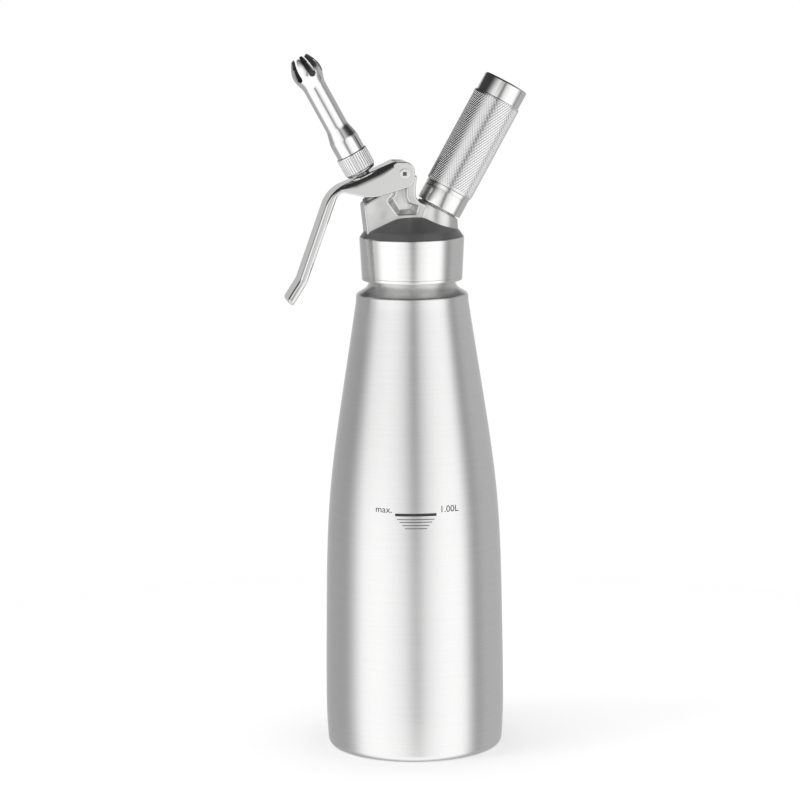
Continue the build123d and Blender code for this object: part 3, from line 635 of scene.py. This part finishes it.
# sleeve with its dome, a fine line near its foot, and room for both bores
collar = dict(foot=27.9, footHeight=263.6, top=29.15, topHeight=287.3, wall=1.2, edge=26.0, edgeHeight=291.6,
              brow=12.5, browHeight=298.4, crown=300.2, footRounds=(0.3, 0.7), topRounds=(1.6, 3, 12),
              insideRounds=(1.2, 2.4, 11), lineHeight=1.9, lineWidth=0.35, lineDepth=0.16,
              lineRounds=(0.08, 0.06, 0.08), boreFrom=5, boreTo=36, valveBore=5.6, gasBore=6.4,
              domeFrom=1, domeTilt=0.35)
c = collar


def onSleeve(height):
    return c["foot"] + (c["top"] - c["foot"]) * (height - c["footHeight"]) / (c["topHeight"] - c["footHeight"])


lineLow = c["footHeight"] + c["lineHeight"]
lineHigh = lineLow + c["lineWidth"]
line = [(onSleeve(lineLow), lineLow), (onSleeve(lineLow) - c["lineDepth"], lineLow + c["lineWidth"] / 2),
        (onSleeve(lineHigh), lineHigh)]
outer = rounded([(c["foot"] - c["wall"], c["footHeight"]), (c["foot"], c["footHeight"]), *line,
                 (c["top"], c["topHeight"]), (c["edge"], c["edgeHeight"]), (c["brow"], c["browHeight"]),
                 (0, c["crown"])], (*c["footRounds"], *c["lineRounds"], *c["topRounds"], 0), 8)
inner = rounded([(c["foot"] - c["wall"], c["footHeight"]), (c["top"] - c["wall"], c["topHeight"] - c["wall"] / 2),
                 (c["edge"] - c["wall"], c["edgeHeight"] - c["wall"] / 2),
                 (c["brow"] - c["wall"] / 2, c["browHeight"] - c["wall"]), (0, c["crown"] - c["wall"])],
                (0, *c["insideRounds"], 0), 6)
sleeve = placed(lathe("headSleeve", outer + inner[:0:-1], 224, closed=False), upright)
cutters = []
for label, place, radius in (("valveCore", valveFrame, c["valveBore"]), ("gasCore", chargerFrame, c["gasBore"])):
    plug = [(0, c["boreFrom"]), (radius, c["boreFrom"]), (radius, c["boreTo"]), (0, c["boreTo"])]
    cutters.append(placed(lathe(label, plug, 48, closed=False), place))
smooth(cutOut(sleeve, cutters), 28)
dress(sleeve, "head", "brushed_steel", "head_collar", finish="sleeveSteel")
# the dome's faces take the dark copy of the steel as a painted reflection
domeLow = (c["topHeight"] + c["domeFrom"]) * mm
dome = facesWhere(sleeve, lambda face: face.normal.z > c["domeTilt"] and face.center.z > domeLow)
repaint(sleeve, "domeSteel", dome)

# cast head, softened as a casting is
casting = dict(voxel=0.42, smoothing=7)
head = cadCopy("castHead", "head_casting")
step = head.modifiers.new("voxels", "REMESH")
step.mode, step.voxel_size = "VOXEL", casting["voxel"] * mm
step = head.modifiers.new("smooth", "SMOOTH")
step.factor, step.iterations = 0.5, casting["smoothing"]
applyModifiers(head)
head.data.shade_smooth()
dress(head, "head", "cast_metal", "head_casting")
print("stage: head", len(head.data.polygons), "faces in the casting")

# nozzle, levels along its bore, with slots cut into its tulip
nozzle = dict(foot=59.85, inner=4.0, bore=5.5, thread=6.0, ringTop=70.3, low=8.2, cone=79.2, tube=6.4,
              tubeFoot=86.4, tulipFoot=111.4, belly=8.35, bellyLevel=119.3, tip=4.95, tipLevel=129.8, tipLean=33,
              wall=0.9, throat=2.2, throatFrom=70.1, throatTo=72.1, coneRounds=(0.3, 7, 10), slots=6,
              slotFoot=117.8, slotAngle=-76.5, slotHalf=(13.5, 18.5), slotFlare=0.4, slotRise=2.0, slotShort=1.1,
              slotPast=0.3, slotReach=14)
n = nozzle


def tulipSide(inset):
    lean = radians(n["tipLean"])
    corners = [("tube", "tulipFoot"), ("belly", "bellyLevel"), ("tip", "tipLevel")]
    return flow([(n[radius] - inset, n[level]) for radius, level in corners], (0, 1), (-sin(lean), cos(lean)), 16)


outer = rounded([(n["thread"], n["foot"]), (n["thread"], n["ringTop"]), (n["low"], n["ringTop"]),
                 (n["low"], n["cone"]), (n["tube"], n["tubeFoot"]), (n["tube"], n["tulipFoot"])],
                (0, 0, *n["coneRounds"], 0), 10)
inner = [(n["bore"], n["throatTo"]), (n["throat"], n["throatTo"]), (n["throat"], n["throatFrom"]),
         (n["inner"], n["throatFrom"]), (n["inner"], n["foot"])]
spout = lathe("nozzleTube", outer + tulipSide(0)[1:] + tulipSide(n["wall"])[::-1] + inner)
# a slot is a round foot and two sides that open towards the tip
side = np.array(tulipSide(0))
levels = np.linspace(n["slotFoot"] + n["slotRise"], n["tipLevel"] - n["slotShort"], 9)
levels = np.append(levels, n["tipLevel"] + n["slotPast"])
halves = np.interp(levels, side[:, 1], side[:, 0]) * np.sin(np.radians(np.linspace(*n["slotHalf"], 10)))
halves[-1] += n["slotFlare"]
slotShape = arc((0, levels[0]), halves[0], pi, 2 * pi, 17)
slotShape += list(zip(halves[1:], levels[1:])) + list(zip(-halves[:0:-1], levels[:0:-1]))
outwards = Matrix(((0, 0, 1, 0), (1, 0, 0, 0), (0, 1, 0, 0), (0, 0, 0, 1)))
cutters = []
for k in range(n["slots"]):
    turn = Matrix.Rotation(radians(n["slotAngle"]) + 2 * pi * k / n["slots"], 4, "Z")
    cutters.append(placed(prism("slot", slotShape, 0, n["slotReach"]), turn @ outwards))
smooth(cutOut(spout, cutters), 40)
# the inner wall, which faces the axis, gets a dark finish as painted shade
shadedInnerWall = facesWhere(spout, lambda face: face.center.xy.length < n["belly"] - 0.3
                    and face.normal.xy.dot(face.center.xy) < -0.3 * face.center.xy.length)
dress(placed(spout, valveFrame), "nozzle", "nozzle_chrome", "nozzle_tube")
repaint(spout, "dullInside", shadedInnerWall)


def rowsTree():
    # copies of a unit set round an axis in rows, every second row shifted by half a step
    tree, names, given = openTree("rowsRoundAxis", {"Unit": "Object", "Around": "Int", "Rows": "Int",
                                                    "Radius": "Float", "Low": "Float", "Step": "Float"})
    index = node(tree, "GeometryNodeInputIndex").outputs[0]
    row = calc(tree, "FLOOR", calc(tree, "DIVIDE", index, given["Around"]))
    place = calc(tree, "MULTIPLY_ADD", calc(tree, "MODULO", row, 2.0), 0.5, index)
    angle = calc(tree, "MULTIPLY", calc(tree, "DIVIDE", place, given["Around"]), 2 * pi)
    spot = node(tree, "ShaderNodeCombineXYZ", {
        "X": calc(tree, "MULTIPLY", calc(tree, "COSINE", angle), given["Radius"]),
        "Y": calc(tree, "MULTIPLY", calc(tree, "SINE", angle), given["Radius"]),
        "Z": calc(tree, "MULTIPLY_ADD", row, given["Step"], given["Low"])}).outputs[0]
    count = calc(tree, "MULTIPLY", given["Around"], given["Rows"])
    points = node(tree, "GeometryNodePoints", {"Count": count, "Position": spot}).outputs[0]
    lean = node(tree, "ShaderNodeCombineXYZ", {"Z": angle}).outputs[0]
    turned = node(tree, "FunctionNodeEulerToRotation", {0: lean}).outputs[0]
    info = node(tree, "GeometryNodeObjectInfo", {"Object": given["Unit"]}, transform_space="ORIGINAL")
    copies = node(tree, "GeometryNodeInstanceOnPoints", {
        "Points": points, "Instance": info.outputs["Geometry"], "Rotation": turned})
    closeTree(tree, given, copies.outputs[0])
    return tree, names


rowsRoundAxis = rowsTree()

# nozzle's ring, a nut with upright ribs between two bevels and a groove in its top
ring = dict(low=58.2, high=70.3, radius=8.95, bore=6.0, lowBevel=1.3, lowRise=1.1, topBevel=0.3, rib=0.5, ribs=36,
            ribShare=0.8, ribFrom=59.7, ribTo=69.5, ribSlope=0.5, ribEnd=0.15, ribSunk=0.3, grooveFrom=7.8,
            grooveTo=8.4, grooveSlope=0.1, grooveDepth=0.45, rounds=(0, 0.4, 0.3, 0, 0.1, 0.1, 0.1, 0, 0, 0, 0, 0))
r = ring
core, grooveFloor = r["radius"] - r["rib"], r["high"] - r["grooveDepth"]
nutSide = [(r["bore"], r["low"]), (r["radius"] - r["lowBevel"], r["low"]), (core, r["low"] + r["lowRise"]),
           (core, r["ribTo"]), (r["radius"], r["ribTo"] + r["ribEnd"]), (r["radius"], r["high"] - r["topBevel"]),
           (r["radius"] - r["topBevel"], r["high"]), (r["grooveTo"], r["high"]),
           (r["grooveTo"] - r["grooveSlope"], grooveFloor), (r["grooveFrom"] + r["grooveSlope"], grooveFloor),
           (r["grooveFrom"], r["high"]), (r["bore"], r["high"])]
nut = lathe("nozzleRing", rounded(nutSide, r["rounds"], 4), 184)
# one rib with rounded shoulders and sloped ends, its foot sunk in the ring
half, length = pi * r["radius"] / r["ribs"] * r["ribShare"], r["ribTo"] - r["ribFrom"] + r["ribSunk"]
bow = [(-0.1, -1), (0.6, -0.94), (0.93, -0.65), (1, -0.25), (1, 0.25), (0.93, 0.65), (0.6, 0.94), (-0.1, 1)]
ribPoints = [(out * r["rib"], side * half, max(out, 0) * r["ribSlope"]) for out, side in bow]
ribPoints += [(out * r["rib"], side * half, length) for out, side in bow]
rib = newPiece("ribUnit", ribPoints, stackFaces(len(bow)))
runTree(nut, *rowsRoundAxis, Unit=rib, Around=r["ribs"], Rows=1, Radius=core, Low=r["ribFrom"], Step=1.0,
        Material=finishes["nozzle_chrome"])
bpy.data.objects.remove(rib)
smooth(nut, 44)
# the core between the ribs, painted dark as shade in the grooves
shadedGrooves = facesWhere(nut, lambda face: abs(face.center.xy.length - core) < 0.02
                     and r["ribFrom"] < face.center.z < r["ribTo"])
dress(placed(nut, valveFrame), "nozzle", "nozzle_chrome", "nozzle_ring")
repaint(nut, "darkSteel", shadedGrooves)
print("stage: nozzle", len(nut.data.polygons), "faces in its ring")

# charger holder, a turned tube under rows of raised diamonds
holder = dict(low=31.2, radius=13.0, core=42.9, knurl=13.6, rise=0.18, crest=0.7, around=58, rows=41, margin=0.45,
              shoulder=0.35, cap=12.85, capLevel=99.3, high=109.7, capBevel=0.8, bore=10.48, boreTop=41.0,
              chamber=9.4, chamberTop=107.3, lineLow=40.4, lineHigh=41.0, lineDepth=0.25, lineSlope=0.15,
              rounds=(0.2, 0.5, 0.1, 0, 0, 0.1, 0, 0.1, 0.1, 0, 0.35, 0.35, 0))
h = holder
root, lineFloor = h["knurl"] - h["rise"], h["radius"] - h["lineDepth"]
outer = [(h["bore"], h["low"]), (h["radius"], h["low"]),
         (h["radius"], h["lineLow"]), (lineFloor, h["lineLow"] + h["lineSlope"]),
         (lineFloor, h["lineHigh"] - h["lineSlope"]), (h["radius"], h["lineHigh"]),
         (h["radius"], h["core"]), (root, h["core"] + h["shoulder"]), (root, h["capLevel"] - h["shoulder"]),
         (h["cap"], h["capLevel"]), (h["cap"], h["high"] - h["capBevel"]), (h["cap"] - h["capBevel"], h["high"]),
         (0, h["high"])]
inner = [(0, h["chamberTop"]), (h["chamber"], h["chamberTop"]), (h["chamber"], h["boreTop"]),
         (h["bore"], h["boreTop"])]
tube = lathe("chargerHolder", rounded(outer, h["rounds"], 5) + inner)
# one raised diamond, its foot on the core and its point cut flat
across = pi * h["knurl"] / h["around"]
along = (h["capLevel"] - h["core"] - 2 * h["margin"]) / (h["rows"] + 1)
diamond = [(0, -across, 0), (0, 0, -along), (0, across, 0), (0, 0, along)]
crest = [(h["rise"], y * h["crest"], z * h["crest"]) for _, y, z in diamond]
knurlUnit = newPiece("diamondUnit", diamond + crest, stackFaces(4)[2:] + [(4, 5, 6, 7)])
runTree(tube, *rowsRoundAxis, Unit=knurlUnit, Around=h["around"], Rows=h["rows"], Radius=root,
        Low=h["core"] + h["margin"] + along, Step=along, Material=finishes["polished_steel"])
bpy.data.objects.remove(knurlUnit)
# the core and the diamonds' slopes, painted a little darker as shade between the diamonds
shadedGrooves = facesWhere(tube, lambda face: h["core"] + 0.3 < face.center.z < h["capLevel"] - 0.3
                     and h["chamber"] + 0.5 < face.center.xy.length < h["knurl"] - h["rise"] * 0.3)
dress(placed(smooth(tube, 20), chargerFrame), "holder", "polished_steel", "charger_holder")
repaint(tube, "grooveSteel", shadedGrooves)
print("stage: charger holder")

# lever, bent from sheet: a web over the valve, a handle, and two plates down to the pin
lever = dict(pivot=(-5.3, 323.3), halfWidth=11.0, sheet=1.8, slope=23.5, rise=8.2, webEnd=2.4, webEndRadius=6,
             webFull=(13, 27), kneeReach=41.1, kneeRadius=20, handleLean=19.8, handleLength=52, flange=4.4,
             tipLean=33, tipLength=13.8, tipBend=12, tipCorner=(2.7, 1.3), innerKnee=(-36.2, -9.3),
             innerKneeRadius=4, plateLow=(-17.5, -13.6), plateLowRadius=25, earLow=(6.1, -6.4), earLowRadius=7,
             earHigh=(5.5, 6.3), earHighRadius=5.5, channelRound=1.2, pin=2.2, slotHalf=5.9, slotWidth=4.4,
             slotReach=19.9,
             # rounding of the edge by outline point: 15 to a corner, and one each for webFull
             bends={0: 0.6, 14: 3, 15: 4.8, 16: 4.8, 17: 3.2, 20: 1.9, 24: 1.5, 47: 1.7, 61: 0.6, 62: 0.8,
                    77: 1.9, 91: 1.6, 95: 0.6})
v = lever
pivot = np.array(v["pivot"])
alongWeb = np.array((cos(radians(v["slope"])), sin(radians(v["slope"]))))
outWeb = np.array((-alongWeb[1], alongWeb[0]))


def webPoint(reach, rise):
    return pivot - alongWeb * reach + outWeb * rise


def hanging(length, lean):
    return np.array((-length * sin(radians(lean)), -length * cos(radians(lean))))


def handleLine(inset):
    # knee, bend and tip of a line that runs inside the lever's outer edge
    bend = webPoint(v["kneeReach"], v["rise"]) + hanging(v["handleLength"], v["handleLean"])
    tip = bend + hanging(v["tipLength"], v["tipLean"])
    halfKnee = radians(90 - v["slope"] - v["handleLean"]) / 2
    halfBend = radians(v["tipLean"] - v["handleLean"]) / 2
    return (webPoint(v["kneeReach"] - inset * tan(halfKnee), v["rise"] - inset),
            bend + hanging(inset / cos(halfBend), (v["handleLean"] + v["tipLean"]) / 2 - 90),
            tip + hanging(inset, v["tipLean"] - 90))


_, flangeBend, flangeTip = handleLine(v["flange"])
web = [webPoint(reach, v["rise"]) for reach in (v["webEnd"], *v["webFull"])]
plate = [pivot + np.array(v[key]) for key in ("innerKnee", "plateLow", "earLow", "earHigh")]
radii = (v["webEndRadius"], 0, 0, v["kneeRadius"], v["tipBend"], *v["tipCorner"], v["tipBend"] + v["flange"],
         v["innerKneeRadius"], v["plateLowRadius"], v["earLowRadius"], v["earHighRadius"])
outline = rounded([*web, *handleLine(0), flangeTip, flangeBend, *plate], radii, 14, closed=True)
rounds = np.interp(range(len(outline)), list(v["bends"]), list(v["bends"].values()))
squeeze = layered("squeezeLever", outline, rounds, v["halfWidth"])

# the channel between the plates, open towards the head
kneeIn, bendIn, tipIn = handleLine(v["sheet"])
tipIn = tipIn - hanging(v["sheet"], v["tipLean"])
far = v["kneeReach"] * 2
channelLine = rounded([webPoint(v["webEnd"], v["rise"] - v["sheet"]), kneeIn, bendIn, tipIn],
                      (0, v["kneeRadius"] - v["sheet"], v["tipBend"] + v["sheet"], 0), 14)
openSide = [tipIn + hanging(far, v["tipLean"] - 90), pivot + np.array((far, -far)), pivot + np.array((far, far)),
            webPoint(v["webEnd"], far)]
rounds = [v["channelRound"]] * len(channelLine) + [0] * len(openSide)
channel = layered("channel", channelLine + [tuple(p) for p in openSide], rounds, v["halfWidth"] - v["sheet"], 3)

# the stem's slot through the web, and the pin's bore through both plates
reach = v["slotHalf"] - v["slotWidth"]
stadium = arc((reach, 0), v["slotWidth"], -pi / 2, pi / 2, 17)
stadium += arc((-reach, 0), v["slotWidth"], pi / 2, 3 * pi / 2, 17)
middle = webPoint(v["slotReach"], v["rise"])
onWeb = Matrix(((alongWeb[0], 0, outWeb[0], middle[0]), (alongWeb[1], 0, outWeb[1], middle[1]),
                (0, 1, 0, 0), (0, 0, 0, 1)))
slotCut = placed(prism("stemSlot", stadium, -5, 5), onWeb)
pinCut = prism("pinBore", arc(pivot, v["pin"], 0, 2 * pi, 49)[:-1], -20, 20)
cutOut(squeeze, [channel, slotCut, pinCut])
dress(placed(evenNormals(squeeze, 50), sidePlane), "lever", "satin_steel", "lever")
print("stage: lever", len(squeeze.data.polygons), "faces")

# small turned and hexagonal pieces: node, body, slot, finish, and the width of its broken edges
# the stem, gland, thrust nut and stem collar take a dark finish, painted shade in the gaps round the nozzle and
# under the lever
smallPieces = {
    "valveStem": ("valve_stem", "stem", "turned_steel", "darkSteel", 0.12),
    "leverPin": ("lever_pin", "lever", "polished_steel", None, 0.42),
    "leverPinNut": ("lever_pin_nut", "lever", "polished_steel", None, 0.3),
    "valveGland": ("valve_gland", "head", "nozzle_chrome", "darkSteel", 0.35),
    "thrustNut": ("thrust_nut", "stem", "turned_steel", "darkSteel", 0.4),
    "stemCollar": ("stem_collar", "stem", "turned_steel", "darkSteel", 0.25),
    "threadRing": ("head_thread_ring", "head", "turned_steel", None, 0.3),
}
for label, (source, body, slot, finish, width) in smallPieces.items():
    small = softEdges(cadCopy(label, source), width * mm)
    dress(evenNormals(small, 50), body, slot, source, finish=finish)

# painted shade in the socket of the lever pin's head
socket = dict(half=1.1, low=0.08, high=0.95)
pin = bpy.data.objects["leverPin"]
front = min(vert.co.y for vert in pin.data.vertices)


def inSocket(face):
    aside = max(abs(face.center.x - pivot[0] * mm), abs(face.center.z - pivot[1] * mm))
    return aside < socket["half"] * mm and socket["low"] * mm < face.center.y - front < socket["high"] * mm


repaint(pin, "dullInside", facesWhere(pin, inSocket))
print("stage: small pieces")

# springs, each with a mesh of its own
for label, source, joint in (("valveSpring", "valve_spring", "valve_press"),
                             ("poppetSpring", "poppet_spring", "gas_valve")):
    spring = cadCopy(label, source)
    dress(smooth(spring, 40), "head", "spring_steel", source)
    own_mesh(spring)

# level mark on the bottle's front: a bar over four lines, each by height and width
mark = dict(turn=1.2, lift=0.05, bar=(139.3, 22.9), barHeight=1.5, lineHeight=0.38, parts=40,
            lines=((136.8, 20.7), (135.3, 18.0), (133.5, 14.8), (131.8, 12.0)), wordGap=1.6, numberGap=1.9,
            letterHeight=3.75, letterShare=0.73, letterBase=140.3)
profile = np.array([p for p in outside if p[1] > 20])


def wrapped(x, z):
    # from flat to the bottle's side
    radius = np.interp(z, profile[:, 1], profile[:, 0]) + mark["lift"]
    angle = heading + radians(mark["turn"]) + x / radius
    return (radius * sin(angle), -radius * cos(angle), z)


points, faces = [], []
bars = [(*mark["bar"], mark["barHeight"])] + [(*line, mark["lineHeight"]) for line in mark["lines"]]
for z, width, height in bars:
    start, parts = len(points), mark["parts"]
    for k in range(parts + 1):
        x = width * (k / parts - 0.5)
        points += [(x, z - height / 2, 0), (x, z + height / 2, 0)]
    faces += [(start + 2 * k, start + 2 * k + 2, start + 2 * k + 3, start + 2 * k + 1) for k in range(parts)]


def letters(text, x, align):
    curve = bpy.data.curves.new("levelText", "FONT")
    curve.body, curve.align_x, curve.resolution_u = text, align, 6
    curve.size = mark["letterHeight"] / mark["letterShare"]
    source = newObject("levelText", curve)
    mesh = bpy.data.meshes.new_from_object(source.evaluated_get(bpy.context.evaluated_depsgraph_get()))
    bpy.data.objects.remove(source)
    start = len(points)
    points.extend((vert.co.x + x, vert.co.y + mark["letterBase"], 0) for vert in mesh.vertices)
    faces.extend(tuple(start + i for i in face.vertices) for face in mesh.polygons)


letters("max.", -mark["bar"][1] / 2 - mark["wordGap"], "RIGHT")
letters("1.00L", mark["bar"][1] / 2 + mark["numberGap"], "LEFT")
levelMark = newPiece("levelMark", points, faces)
for vert in levelMark.data.vertices:
    vert.co = wrapped(vert.co.x, vert.co.y)
placed(levelMark, upright)
levelMark.data.materials.append(finishes["markInk"])
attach(levelMark, "bottle")
print("stage: level mark")

# finishes of the pieces that stay as they were packed
slotOf = {
    "stem_clip": "turned_steel", "valve_washer": "turned_steel", "valve_seal_nut": "turned_steel",
    "piercing_pin": "polished_steel", "charger_seal": "silicone", "valve_seal": "silicone",
    "valve_o_ring": "silicone", "head_gasket": "silicone", "nozzle_gasket": "silicone",
    "gas_valve_body": "brass", "gas_valve_poppet": "brass", "gas_charger": "charger_steel",
}
for name, slot in slotOf.items():
    packed = frame["nodes"][name].data
    packed.materials.clear()
    packed.materials.append(finishes[slot])

scene.view_settings.view_transform = "Standard"
